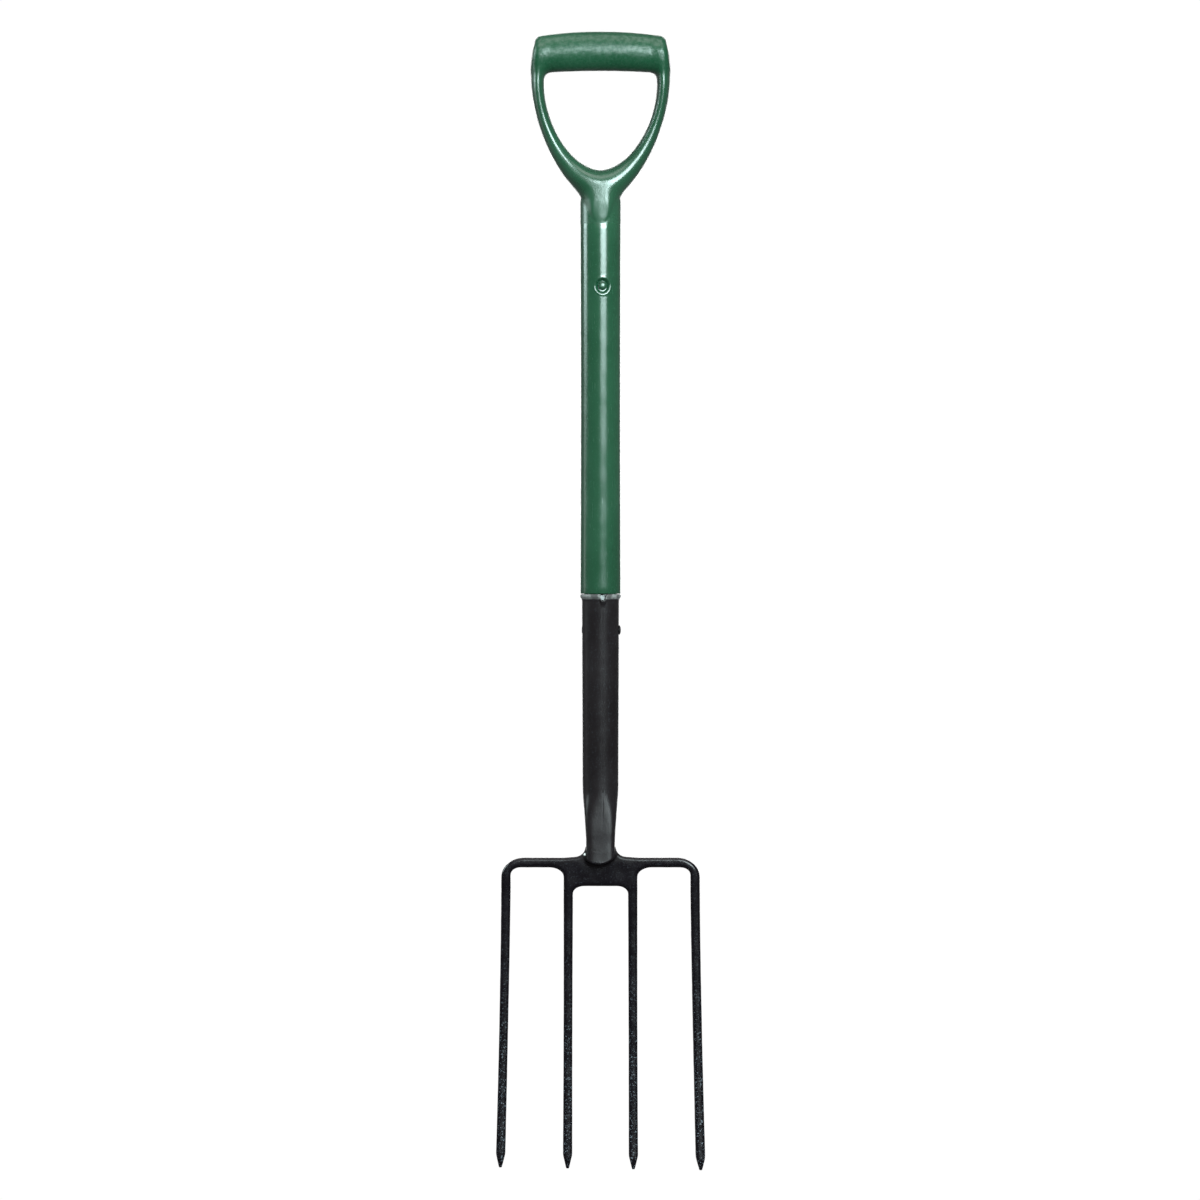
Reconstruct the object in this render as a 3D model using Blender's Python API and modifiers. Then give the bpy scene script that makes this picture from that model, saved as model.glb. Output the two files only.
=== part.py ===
"""Garden fork with four tines and a D grip: a forged head welded into a cranked steel socket, a steel
shaft tube under a plastic sleeve, and a moulded grip. Metres, +Z up, points of the tines at z = 0, front
of the tool at -Y."""

from math import copysign, cos, hypot, pi, radians, sin, sqrt

import bmesh
import bpy
from mathutils import Matrix, Vector

# Driving dimensions, in metres.
GAP = 0.0003  # clearance between neighbouring pieces
SHAFT_Y = 0.00392  # shaft axis behind the origin, which is the middle of the tool's footprint

BAR_TOP = 1.0244  # top of the grip's cross bar
BAR_RADIUS = 0.01785
BAR_END_RADIUS = 0.0167
BAR_HALF_LENGTH = 0.0596
BAR_ARCH = 0.0036  # the bar's ends sit this much lower than its middle
BAR_ROUNDING = 0.0048

LOOP_HALF_WIDTH = 0.0508  # inside of the D
LOOP_BOTTOM = 0.9000
LOOP_SIDE_Z = 0.9750  # where the D is widest inside
LOOP_POWER = 1.8
ARM_HALF_WIDTH = 0.0624  # outside of the D
ARM_SIDE_Z = 0.9800
ARM_FOOT_Z = 0.8690  # where the outer outline would meet the centre plane
ARM_POWER = 1.65
ARM_ROOT_Z = 1.0074  # the arms end here, inside the bar
ARM_ROOT_X = (0.0495, 0.0595)
ARM_ROOT_DEPTH = 0.0120
ARM_UPPER_Z = 0.9930
ARM_UPPER_X = (0.0504, 0.0620)
ARM_UPPER_DEPTH = 0.0146
ARM_RINGS = 16
ARM_TOP_DEPTH = 0.0150  # half depths of the arm, front to back
ARM_MID_DEPTH = 0.0115
YOKE_DEPTH = 0.0194

SEAM_Z = 0.8514  # grip shoulder meets the sleeve
SHOULDER_TOP_Z = 0.8749
SHOULDER_ROUNDING = 0.0038
SLEEVE_RADIUS = 0.0183
SLEEVE_WAIST = 0.0004  # the sleeve is this much slimmer half-way
SLEEVE_BOTTOM = 0.5182
TONGUE_TOP_Z = 0.8950
TONGUE_TOP_DEPTH = 0.0130
TONGUE_TIP_HALF_WIDTH = 0.0077
TONGUE_FLARE = 0.445  # half-width gained per unit of height
TONGUE_RINGS = 8

TUBE_RADIUS = 0.0146
TUBE_WALL = 0.0016
TUBE_BOTTOM = 0.3560
SPIGOT_BOTTOM = 0.7600
SPIGOT_CHAMFER = 0.0015

GRIP_RIVET_Z = 0.7950
GRIP_RIVET_TURN = radians(6.0)  # the rivet's front end leans towards +X
RIVET_SHANK_RADIUS = 0.0025
GRIP_RIVET_HEAD_RADIUS = 0.0040
GRIP_RIVET_HEAD_HEIGHT = 0.0022
RECESS_RADIUS = 0.0072  # of the dished ring round the rivet's head
RECESS_TOP = 0.0193  # distances from the shaft's axis
RECESS_FLOOR = 0.0159
BURR_FLOOR = 0.0175
BURR_RADIUS = 0.0048
BURR_THICKNESS = 0.0010
TAIL_LENGTH = 0.0011

SOCKET_MOUTH_Z = 0.5178
SOCKET_BARREL_Z = 0.5000  # full radius from here up to the lip
SOCKET_BOTTOM_Z = 0.2903
SOCKET_BORE_RADIUS = 0.0149
SOCKET_WALL = 0.0016
SOCKET_LIP_RADIUS = 0.0183
SOCKET_TOP_RADIUS = 0.0167
SOCKET_MIDDLE_RADIUS = 0.0162  # where the neck begins
SOCKET_FOOT_RADIUS = 0.0130
SOCKET_RIVET_Z = 0.4856
SOCKET_RIVET_HEAD_RADIUS = 0.0046
SOCKET_RIVET_HEAD_HEIGHT = 0.0017
SEAM_NOTCH_WIDTH = 0.0050
SEAM_NOTCH_DEPTH = 0.0055
SEAM_NOTCH_TURN = radians(8.0)

CRANK_TOP_Z = 0.3500  # the neck starts to lean forward here
CRANK_BOTTOM_Z = 0.2850
CRANK = 0.0090
NECK_STRAIGHT_Z = 0.3020  # below here the neck keeps one slope down to its foot
NECK_SLOPE = 0.125
NECK_ROUND_Z = 0.3400  # the neck's section is round down to here
NECK_SQUARE_Z = 0.3040  # and square by here
NECK_SQUARENESS = 3.5
DISH = 0.0160  # how far the tines' points curve forward of the shoulders

TREAD_Z = 0.2808  # flat tops of the shoulders
TREAD_INNER_X = 0.0340
SHOULDER_X = 0.0893
SHOULDER_WIDTH = 0.0205  # width and height of the elliptical outer shoulders
SHOULDER_DROP = 0.0175
SHOULDER_BAR = 0.0088
NECK_FILLET_TOP = (0.0127, 0.2890)
NECK_FILLET_FOOT = (0.0172, 0.2830)
OUTER_CORNER = (0.0090, 0.0065)  # width and height of the rounding in each corner under the plate
INNER_CORNER = (0.0130, 0.0085)
MIDDLE_CORNER = (0.0100, 0.0068)
HEAD_HALF_DEPTH = 0.0052
HEAD_CHAMFER = 0.0019
PLATE_BOTTOM_Z = 0.2552
OUTER_TINE_X = 0.0850
INNER_TINE_X = 0.0290
TINE_HALF_WIDTH = 0.0042
TINE_TOP_Z = 0.2600  # the tines splay from here
TINE_SLIM_Z = 0.2500  # and are drawn slimmer from here
TINE_WAIST = 0.94  # width half-way down, as a share of the blank's
TINE_FLARE = 0.07  # what that share gains towards both ends
TINE_DEPTH_LOSS = 0.16
DEPTH_FADE = (0.2720, 0.0500)  # height where the tines start to thin, and over how much
OUTER_TINE_SPLAY = 0.0052  # outward drift of the outer tines from shoulder to point
INNER_TINE_SPLAY = 0.0006
POINT_LENGTH = 0.0120
POINT_SCALE = 0.26
NOSE_BOTTOM_Z = 0.2745
NOSE_ARCH = 0.0052  # how much higher the foot's edge is at its sides
NOSE_TILT = 0.0012
NOSE_ROUNDING = 0.0012
NOSE_RINGS = 7
TANG_RADIUS = 0.0110
TANG_TOP = 0.3320
TANG_CHAMFER = 0.0020
TANG_RINGS = 6

ROUND_STEPS = 32
SMALL_STEPS = 20
TINE_STEP = 0.0240


def clear_scene():
    for obj in list(bpy.data.objects):
        bpy.data.objects.remove(obj, do_unlink=True)


def new_collection(name, hidden=False):
    collection = bpy.data.collections.new(name)
    bpy.context.scene.collection.children.link(collection)
    collection.hide_render = hidden
    return collection


def new_material(name, colour, roughness, metallic):
    material = bpy.data.materials.new(name)
    material.use_nodes = True
    shader = material.node_tree.nodes["Principled BSDF"]
    shader.inputs["Base Color"].default_value = (*colour, 1.0)
    shader.inputs["Roughness"].default_value = roughness
    shader.inputs["Metallic"].default_value = metallic
    return material


def new_object(name, mesh):
    obj = bpy.data.objects.new(name, mesh)
    helpers.objects.link(obj)
    obj.parent = fork
    obj.hide_render = True
    obj.display_type = "WIRE"
    return obj


def mesh_from(name, bm):
    mesh = bpy.data.meshes.new(name)
    bmesh.ops.recalc_face_normals(bm, faces=bm.faces)
    bm.to_mesh(mesh)
    bm.free()
    return mesh


def finish_part(obj, material):
    """Makes a helper into a visible piece of the tool."""
    helpers.objects.unlink(obj)
    parts.objects.link(obj)
    obj.hide_render = False
    obj.display_type = "TEXTURED"
    obj.data.materials.clear()
    obj.data.materials.append(material)
    obj.data.shade_smooth()
    obj.data.set_sharp_from_angle(angle=radians(35))
    return obj


def turned(name, profile, steps=ROUND_STEPS):
    """Solid of revolution about Z. The profile is a closed loop of (radius, z), or runs axis to axis."""
    mesh = bpy.data.meshes.new(name)
    edges = [(i, i + 1) for i in range(len(profile) - 1)]
    if min(radius for radius, _ in profile) > 0:
        edges.append((len(profile) - 1, 0))
    mesh.from_pydata([(radius, 0, z) for radius, z in profile], edges, [])
    obj = new_object(name, mesh)
    screw = obj.modifiers.new("Turn", "SCREW")
    screw.steps = screw.render_steps = steps
    screw.use_merge_vertices = True
    screw.merge_threshold = 0.00001
    return obj


def baked(obj):
    """The same object with its modifiers or its curve turned into a plain closed mesh."""
    graph = bpy.context.evaluated_depsgraph_get()
    graph.update()
    mesh = bpy.data.meshes.new_from_object(obj.evaluated_get(graph))
    bm = bmesh.new()
    bm.from_mesh(mesh)
    bpy.data.meshes.remove(mesh)
    bmesh.ops.remove_doubles(bm, verts=bm.verts, dist=0.000005)
    name, matrix = obj.name, obj.matrix_local.copy()
    bpy.data.objects.remove(obj, do_unlink=True)
    result = new_object(name, mesh_from(name, bm))
    result.matrix_local = matrix
    return result


def combine(obj, operation, *others):
    for other in others:
        boolean = obj.modifiers.new(f"{operation.title()} {other.name}", "BOOLEAN")
        boolean.operation = operation
        boolean.object = other
    return obj


def smoothstep(t):
    t = min(max(t, 0.0), 1.0)
    return t * t * (3 - 2 * t)


def lean(z):
    """How far forward the neck and head sit at a height: the neck's crank, then the tines' dish."""
    crank = CRANK * smoothstep((CRANK_TOP_Z - z) / (CRANK_TOP_Z - CRANK_BOTTOM_Z))
    dish = DISH * max(0.0, (TREAD_Z - z) / TREAD_Z) ** 2
    return crank + dish


def neck_lean(z):
    """The same for the neck, whose foot keeps leaning where the forging turns upright."""
    if z > NECK_STRAIGHT_Z:
        return lean(z)
    return lean(NECK_STRAIGHT_Z) + NECK_SLOPE * (NECK_STRAIGHT_Z - z)


def square_up(x, y, z):
    """Turns a round section of the neck towards a superellipse of the same width."""
    power = 2 + NECK_SQUARENESS * smoothstep((NECK_ROUND_Z - z) / (NECK_ROUND_Z - NECK_SQUARE_Z))
    radius = hypot(x, y)
    if radius == 0:
        return x, y
    grow = ((abs(x) / radius) ** power + (abs(y) / radius) ** power) ** (-1 / power)
    return x * grow, y * grow


def form_neck(obj):
    """Squares a straight round piece towards the neck's foot, and leans it forward."""
    for vertex in obj.data.vertices:
        x, y = square_up(*vertex.co)
        vertex.co.x = x
        vertex.co.y = y - neck_lean(vertex.co.z)
    return obj


def loft(name, rings, open_end=False):
    """Skin through rings of points, capped at the start and, unless open_end, at the end."""
    bm = bmesh.new()
    loops = [[bm.verts.new(point) for point in ring] for ring in rings]
    for lower, upper in zip(loops, loops[1:]):
        for i in range(len(lower)):
            j = (i + 1) % len(lower)
            bm.faces.new((lower[i], lower[j], upper[j], upper[i]))
    bm.faces.new(loops[0])
    if not open_end:
        bm.faces.new(loops[-1])
    return new_object(name, mesh_from(name, bm))


def superellipse(angle, half_width, height, power):
    """Point on a quarter superellipse: angle 0 at its side, pi / 2 at its foot."""
    return (
        half_width * cos(angle) ** (2 / power) if angle < pi / 2 else 0.0,
        -height * sin(angle) ** (2 / power),
    )


def arm_ring(angle, count=24):
    """Elliptical section of the right arm between the D's inner and outer outlines."""
    inner_x, inner_drop = superellipse(angle, LOOP_HALF_WIDTH, LOOP_SIDE_Z - LOOP_BOTTOM, LOOP_POWER)
    outer_x, outer_drop = superellipse(angle, ARM_HALF_WIDTH, ARM_SIDE_Z - ARM_FOOT_Z, ARM_POWER)
    inner = Vector((inner_x, 0, LOOP_SIDE_Z + inner_drop))
    outer = Vector((outer_x, 0, ARM_SIDE_Z + outer_drop))
    t = angle / (pi / 2)
    depth = ARM_TOP_DEPTH + (ARM_MID_DEPTH - ARM_TOP_DEPTH) * smoothstep(t * 3)
    depth += (YOKE_DEPTH - ARM_MID_DEPTH) * smoothstep((t - 0.35) / 0.65)
    return section_ring((inner + outer) / 2, (outer - inner) / 2, depth, count)


def section_ring(centre, half, depth, count=24):
    turns = (2 * pi * i / count for i in range(count))
    return [centre + half * cos(a) + Vector((0, depth * sin(a), 0)) for a in turns]


def level_ring(span, z, depth):
    """Level elliptical section between two distances from the centre plane."""
    inner, outer = span
    return section_ring(Vector(((inner + outer) / 2, 0, z)), Vector(((outer - inner) / 2, 0, 0)), depth)


def make_arms():
    """Both arms and the yoke: a half that is open at the centre plane, mirrored."""
    rings = [level_ring(ARM_ROOT_X, ARM_ROOT_Z, ARM_ROOT_DEPTH)]
    rings += [level_ring(ARM_UPPER_X, ARM_UPPER_Z, ARM_UPPER_DEPTH)]
    rings += [arm_ring(pi / 2 * i / ARM_RINGS) for i in range(ARM_RINGS + 1)]
    arms = loft("grip_arms", rings, open_end=True)
    mirror = arms.modifiers.new("Mirror", "MIRROR")
    mirror.merge_threshold = 0.0001
    mirror.use_clip = True
    return baked(arms)


def make_bar():
    """The hand bar: a tapered, slightly arched rod with rounded ends."""
    curve = bpy.data.curves.new("grip_bar", "CURVE")
    curve.dimensions = "3D"
    curve.bevel_depth = 1.0
    curve.bevel_resolution = 8
    curve.use_fill_caps = True
    flat = BAR_HALF_LENGTH - BAR_ROUNDING
    stations = [flat * i / 8 for i in range(9)]
    stations += [flat + BAR_ROUNDING * sin(radians(a)) for a in (30, 60, 80)]
    stations = [-x for x in reversed(stations[1:])] + stations
    spline = curve.splines.new("POLY")
    spline.points.add(len(stations) - 1)
    for point, x in zip(spline.points, stations):
        share = (x / BAR_HALF_LENGTH) ** 2
        radius = BAR_RADIUS + (BAR_END_RADIUS - BAR_RADIUS) * share
        past = max(0.0, abs(x) - flat)
        radius -= BAR_ROUNDING - sqrt(BAR_ROUNDING**2 - past**2)
        point.co = (x, 0, BAR_TOP - BAR_RADIUS - BAR_ARCH * share, 1)
        point.radius = radius
    return baked(new_object("grip_bar", curve))


def make_shoulder():
    """The grip's round shoulder, and the spigot that goes down into the shaft tube."""
    spigot = TUBE_RADIUS - TUBE_WALL - GAP
    profile = [(0.0, SHOULDER_TOP_Z)]
    for a in (90, 70, 50, 30, 10, 0):
        radius = SLEEVE_RADIUS - SHOULDER_ROUNDING * (1 - cos(radians(a)))
        profile.append((radius, SHOULDER_TOP_Z - SHOULDER_ROUNDING * (1 - sin(radians(a)))))
    profile += [
        (SLEEVE_RADIUS, SEAM_Z),
        (spigot, SEAM_Z),
        (spigot, SPIGOT_BOTTOM + SPIGOT_CHAMFER),
        (spigot - SPIGOT_CHAMFER, SPIGOT_BOTTOM),
        (0.0, SPIGOT_BOTTOM),
    ]
    return turned("grip_shoulder", profile)


def make_tongue():
    """The raised tongue that runs from the yoke down the front and back of the shoulder."""
    rings = []
    for i in range(TONGUE_RINGS + 1):
        t = i / TONGUE_RINGS
        z = TONGUE_TOP_Z + (SEAM_Z + GAP - TONGUE_TOP_Z) * t
        half = TONGUE_TIP_HALF_WIDTH + TONGUE_FLARE * (z - SEAM_Z)
        rise = smoothstep(t * 4)
        depth = TONGUE_TOP_DEPTH + (YOKE_DEPTH - TONGUE_TOP_DEPTH) * rise
        depth -= (YOKE_DEPTH - SLEEVE_RADIUS) * smoothstep((t - 0.4) / 0.6)
        rings.append(section_ring(Vector((0, 0, z)), Vector((half, 0, 0)), depth))
    return loft("grip_tongue", rings)


def along(obj, axis, z):
    """Turns an object's Z axis to point along a level direction from the shaft's axis at height z."""
    turn = Vector(axis).to_track_quat("Z", "Y").to_matrix().to_4x4()
    obj.matrix_local = Matrix.Translation((0, 0, z)) @ turn
    return obj


def grip_rivet_axis():
    """Unit vector from the shaft's axis out through the grip rivet's head."""
    return Vector((sin(GRIP_RIVET_TURN), -cos(GRIP_RIVET_TURN), 0))


def rivet_hole(name, z, axis):
    """Cutter right across the shaft for a rivet's shank."""
    bm = bmesh.new()
    radius = RIVET_SHANK_RADIUS + GAP
    bmesh.ops.create_cone(
        bm, cap_ends=True, segments=SMALL_STEPS, radius1=radius, radius2=radius, depth=4 * SLEEVE_RADIUS
    )
    return along(new_object(name, mesh_from(name, bm)), axis, z)


def make_d_grip():
    grip = make_arms()
    combine(grip, "UNION", make_bar(), baked(make_shoulder()), make_tongue())
    combine(grip, "DIFFERENCE", rivet_hole("spigot_hole", GRIP_RIVET_Z, grip_rivet_axis()))
    grip.name = "d_grip"
    return finish_part(grip, green_plastic)


def make_sleeve():
    """The plastic sleeve, slightly waisted, with the dished ring round the rivet's head."""
    top, bottom = SEAM_Z - GAP, SLEEVE_BOTTOM
    outer = []
    for i in range(13):
        t = i / 12
        outer.append((SLEEVE_RADIUS - SLEEVE_WAIST * sin(pi * t), top + (bottom - top) * t))
    bore = TUBE_RADIUS + GAP
    sleeve = turned("shaft_sleeve", outer + [(bore, bottom), (bore, top)])
    axis = grip_rivet_axis()
    floor_radius = GRIP_RIVET_HEAD_RADIUS + 2 * GAP
    dish = [(0, RECESS_TOP), (RECESS_RADIUS, RECESS_TOP), (floor_radius, RECESS_FLOOR), (0, RECESS_FLOOR)]
    recess = along(baked(turned("rivet_recess", dish)), axis, GRIP_RIVET_Z)
    seat_radius = BURR_RADIUS + GAP
    seat = [(0, RECESS_TOP), (seat_radius, RECESS_TOP), (seat_radius, BURR_FLOOR), (0, BURR_FLOOR)]
    burr_seat = along(baked(turned("burr_seat", seat)), -axis, GRIP_RIVET_Z)
    combine(sleeve, "DIFFERENCE", recess, burr_seat, rivet_hole("sleeve_hole", GRIP_RIVET_Z, axis))
    return finish_part(sleeve, green_plastic)


def make_shaft_tube():
    """The steel tube that carries the load, inside the sleeve and down into the socket."""
    top, bottom = SEAM_Z - GAP, TUBE_BOTTOM
    bore = TUBE_RADIUS - TUBE_WALL
    tube = turned("shaft_tube", [(TUBE_RADIUS, top), (TUBE_RADIUS, bottom), (bore, bottom), (bore, top)])
    holes = (
        rivet_hole("tube_grip_hole", GRIP_RIVET_Z, grip_rivet_axis()),
        rivet_hole("tube_socket_hole", SOCKET_RIVET_Z, (1, 0, 0)),
    )
    combine(tube, "DIFFERENCE", *holes)
    return finish_part(tube, bare_steel)


def socket_radius(z):
    """Outside radius of the socket below its lip: nearly straight, then tapered to the neck."""
    spread = SOCKET_TOP_RADIUS - SOCKET_MIDDLE_RADIUS
    if z > CRANK_TOP_Z:
        return SOCKET_MIDDLE_RADIUS + spread * smoothstep((z - CRANK_TOP_Z) / (SOCKET_BARREL_Z - CRANK_TOP_Z))
    taper = SOCKET_MIDDLE_RADIUS - SOCKET_FOOT_RADIUS
    return SOCKET_FOOT_RADIUS + taper * smoothstep((z - SOCKET_BOTTOM_Z) / (CRANK_TOP_Z - SOCKET_BOTTOM_Z))


def seam_notch():
    """Cutter for the open U notch where the socket's rolled seam ends at its mouth."""
    low = SOCKET_MOUTH_Z - SEAM_NOTCH_DEPTH
    outward = Vector((sin(SEAM_NOTCH_TURN), -cos(SEAM_NOTCH_TURN), 0))
    across = Vector((cos(SEAM_NOTCH_TURN), sin(SEAM_NOTCH_TURN), 0))
    half = SEAM_NOTCH_WIDTH / 2
    outline = arc(0, low + half, half, half, 180, 360, 8) + [(half, low + 0.0100), (-half, low + 0.0100)]
    near = [across * x + outward * 0.0120 + Vector((0, 0, z)) for x, z in outline]
    return loft("seam_notch", [near, [point + outward * 0.0100 for point in near]])


def make_socket():
    """Rolled steel socket: flared lip, straight barrel, tapered neck leaning forward."""
    lip = [
        (SOCKET_LIP_RADIUS - 0.0004, SOCKET_MOUTH_Z),
        (SOCKET_LIP_RADIUS, SOCKET_MOUTH_Z - 0.0006),
        (SOCKET_LIP_RADIUS, SOCKET_MOUTH_Z - 0.0024),
        (SOCKET_TOP_RADIUS + 0.0009, SOCKET_MOUTH_Z - 0.0046),
        (SOCKET_TOP_RADIUS + 0.0003, SOCKET_MOUTH_Z - 0.0075),
    ]
    heights = [SOCKET_BARREL_Z, 0.4500, 0.4000, 0.3600]
    heights += [CRANK_TOP_Z + (SOCKET_BOTTOM_Z - CRANK_TOP_Z) * i / 10 for i in range(11)]
    outer = [(socket_radius(z), z) for z in heights]
    inner = [(min(SOCKET_BORE_RADIUS, radius - SOCKET_WALL), z) for radius, z in reversed(outer)]
    profile = lip + outer + inner + [(SOCKET_BORE_RADIUS, SOCKET_MOUTH_Z)]
    socket = form_neck(baked(turned("socket", profile)))
    combine(socket, "DIFFERENCE", seam_notch(), rivet_hole("socket_hole", SOCKET_RIVET_Z, (1, 0, 0)))
    return finish_part(socket, black_paint)


def domed_rivet(name, head_radius, head_height, head_base, tail_end):
    """Rivet along Z: domed head above head_base, plain shank down to tail_end with a peened tip."""
    turns = [radians(a) for a in range(0, 91, 15)]
    dome = [(head_radius * sin(a), head_base + head_height * cos(a)) for a in turns]
    shank = [
        (RIVET_SHANK_RADIUS, head_base),
        (RIVET_SHANK_RADIUS, tail_end + TAIL_LENGTH),
        (RIVET_SHANK_RADIUS + 0.0008, tail_end + 0.8 * TAIL_LENGTH),
        (RIVET_SHANK_RADIUS + 0.0006, tail_end + 0.2 * TAIL_LENGTH),
        (0.0, tail_end),
    ]
    return baked(turned(name, dome + shank, SMALL_STEPS))


def burr(name, base, thickness):
    """Washer about Z that a rivet's tail is closed on."""
    bore = RIVET_SHANK_RADIUS + GAP
    profile = [(BURR_RADIUS - 0.0003, base + thickness), (BURR_RADIUS, base + thickness - 0.0003)]
    profile += [(BURR_RADIUS, base), (bore, base), (bore, base + thickness)]
    return baked(turned(name, profile, SMALL_STEPS))


def make_grip_rivet():
    axis = grip_rivet_axis()
    burr_face = BURR_FLOOR + GAP
    tail = -(burr_face + BURR_THICKNESS + GAP + TAIL_LENGTH)
    rivet = domed_rivet(
        "grip_rivet", GRIP_RIVET_HEAD_RADIUS, GRIP_RIVET_HEAD_HEIGHT, RECESS_FLOOR + GAP, tail
    )
    finish_part(along(rivet, axis, GRIP_RIVET_Z), green_paint)
    washer = burr("grip_rivet_burr", burr_face, BURR_THICKNESS)
    finish_part(along(washer, -axis, GRIP_RIVET_Z), bare_steel)


def make_socket_rivet():
    seat = socket_radius(SOCKET_RIVET_Z) + GAP
    rivet = domed_rivet(
        "socket_rivet", SOCKET_RIVET_HEAD_RADIUS, SOCKET_RIVET_HEAD_HEIGHT, seat, -seat - TAIL_LENGTH
    )
    finish_part(along(rivet, (1, 0, 0), SOCKET_RIVET_Z), black_paint)


def arc(x, z, half_width, height, start, end, steps=6):
    """Points on an elliptical arc in the XZ plane, by angle in degrees from +X towards +Z."""
    angles = (radians(start + (end - start) * i / steps) for i in range(steps + 1))
    return [(x + half_width * cos(a), z + height * sin(a)) for a in angles]


def tine_end(x):
    return [(x + TINE_HALF_WIDTH, 0.0), (x - TINE_HALF_WIDTH, 0.0)]


def head_outline():
    """Right half of the head's front outline, from the neck round to the middle of the plate."""
    neck_x, neck_z = NECK_FILLET_TOP
    foot_x, foot_z = NECK_FILLET_FOOT
    outline = arc(foot_x, neck_z, foot_x - neck_x, neck_z - foot_z, 180, 270)
    outline += [(TREAD_INNER_X, TREAD_Z)]
    shoulder_x, shoulder_z = SHOULDER_X - SHOULDER_WIDTH, TREAD_Z - SHOULDER_DROP
    outline += arc(shoulder_x, shoulder_z, SHOULDER_WIDTH, SHOULDER_DROP, 90, 0, 9)
    outline += tine_end(OUTER_TINE_X)
    under = TREAD_Z - SHOULDER_BAR
    across, down = OUTER_CORNER
    outline += arc(OUTER_TINE_X - TINE_HALF_WIDTH - across, under - down, across, down, 0, 90)
    across, down = INNER_CORNER
    outline += arc(INNER_TINE_X + TINE_HALF_WIDTH + across, under - down, across, down, 90, 180)
    outline += tine_end(INNER_TINE_X)
    across, down = MIDDLE_CORNER
    outline += arc(INNER_TINE_X - TINE_HALF_WIDTH - across, PLATE_BOTTOM_Z - down, across, down, 0, 90)
    return outline


def head_blank():
    """The forging's flat blank: chamfered plate, shoulders and straight tines."""
    right = head_outline()
    outline = right + [(-x, z) for x, z in reversed(right)]
    curve = bpy.data.curves.new("fork_head", "CURVE")
    curve.dimensions = "2D"
    curve.fill_mode = "BOTH"
    curve.extrude = HEAD_HALF_DEPTH - HEAD_CHAMFER
    curve.bevel_depth = HEAD_CHAMFER
    curve.bevel_resolution = 0
    curve.offset = -HEAD_CHAMFER
    spline = curve.splines.new("POLY")
    spline.points.add(len(outline) - 1)
    for point, (x, z) in zip(spline.points, outline):
        point.co = (x, z, 0, 1)
    spline.use_cyclic_u = True
    return baked(new_object("fork_head", curve))


def cut_across(mesh, heights):
    """Adds an edge loop round the blank at each height, so that it can be bent."""
    bm = bmesh.new()
    bm.from_mesh(mesh)
    bmesh.ops.dissolve_limit(bm, angle_limit=radians(1), verts=bm.verts, edges=bm.edges)
    for z in heights:
        geometry = bm.verts[:] + bm.edges[:] + bm.faces[:]
        bmesh.ops.bisect_plane(bm, geom=geometry, dist=1e-6, plane_co=(0, 0, z), plane_no=(0, 0, 1))
    bmesh.ops.triangulate(bm, faces=bm.faces)
    bm.to_mesh(mesh)
    bm.free()


def draw_out(vertex):
    """Forges one vertex of the blank: splays and slims the tines, and draws their points."""
    x, y, z = vertex.co
    below = max(0.0, (TINE_TOP_Z - z) / TINE_TOP_Z)
    side = copysign(1.0, x)
    outer = abs(x) > (OUTER_TINE_X + INNER_TINE_X) / 2
    centre = OUTER_TINE_X if outer else INNER_TINE_X
    splay = (OUTER_TINE_SPLAY if outer else INNER_TINE_SPLAY) * below**1.35
    slim = TINE_WAIST + TINE_FLARE * (2 * below - 1) ** 2
    fade_top, fade = DEPTH_FADE
    depth = 1 - TINE_DEPTH_LOSS * smoothstep((fade_top - z) / fade)
    if z < POINT_LENGTH:
        point = POINT_SCALE + (1 - POINT_SCALE) * z / POINT_LENGTH
        slim *= point
        depth *= point
    if z < TINE_SLIM_Z:
        vertex.co.x = side * (centre + splay + (abs(x) - centre) * slim)
    vertex.co.y = y * depth


def nose_ring(share, inset):
    """Section of the neck's foot, from its level top down to its arched lower edge."""
    top = SOCKET_BOTTOM_Z - GAP
    radius = SOCKET_FOOT_RADIUS - inset
    ring = []
    for i in range(ROUND_STEPS):
        turn = 2 * pi * i / ROUND_STEPS
        x, y = square_up(radius * cos(turn), radius * sin(turn), NECK_SQUARE_Z)
        run = x / SOCKET_FOOT_RADIUS
        edge = NOSE_BOTTOM_Z + NOSE_ARCH * run**2 + NOSE_TILT * run
        z = top + (edge - top) * share
        ring.append((x, y - neck_lean(z), z))
    return ring


def make_nose():
    """The foot of the neck, proud of the plate front and back."""
    rounded = 1 - NOSE_ROUNDING / (SOCKET_BOTTOM_Z - NOSE_BOTTOM_Z)
    rings = [nose_ring(rounded * i / NOSE_RINGS, 0.0) for i in range(NOSE_RINGS + 1)]
    rings += [nose_ring(1 - (1 - rounded) / 3, NOSE_ROUNDING / 3), nose_ring(1.0, NOSE_ROUNDING)]
    rings += [nose_ring(1.0, SOCKET_FOOT_RADIUS * share) for share in (0.4, 0.7, 0.95)]
    return loft("neck_nose", rings)


def make_tang():
    """The tang that goes up from the neck's foot into the socket."""
    bottom = TREAD_Z
    profile = [(0.0, TANG_TOP), (TANG_RADIUS - TANG_CHAMFER, TANG_TOP)]
    step = (TANG_TOP - TANG_CHAMFER - bottom) / TANG_RINGS
    profile += [(TANG_RADIUS, TANG_TOP - TANG_CHAMFER - step * i) for i in range(TANG_RINGS + 1)]
    return form_neck(baked(turned("neck_tang", profile + [(0.0, bottom)])))


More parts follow.
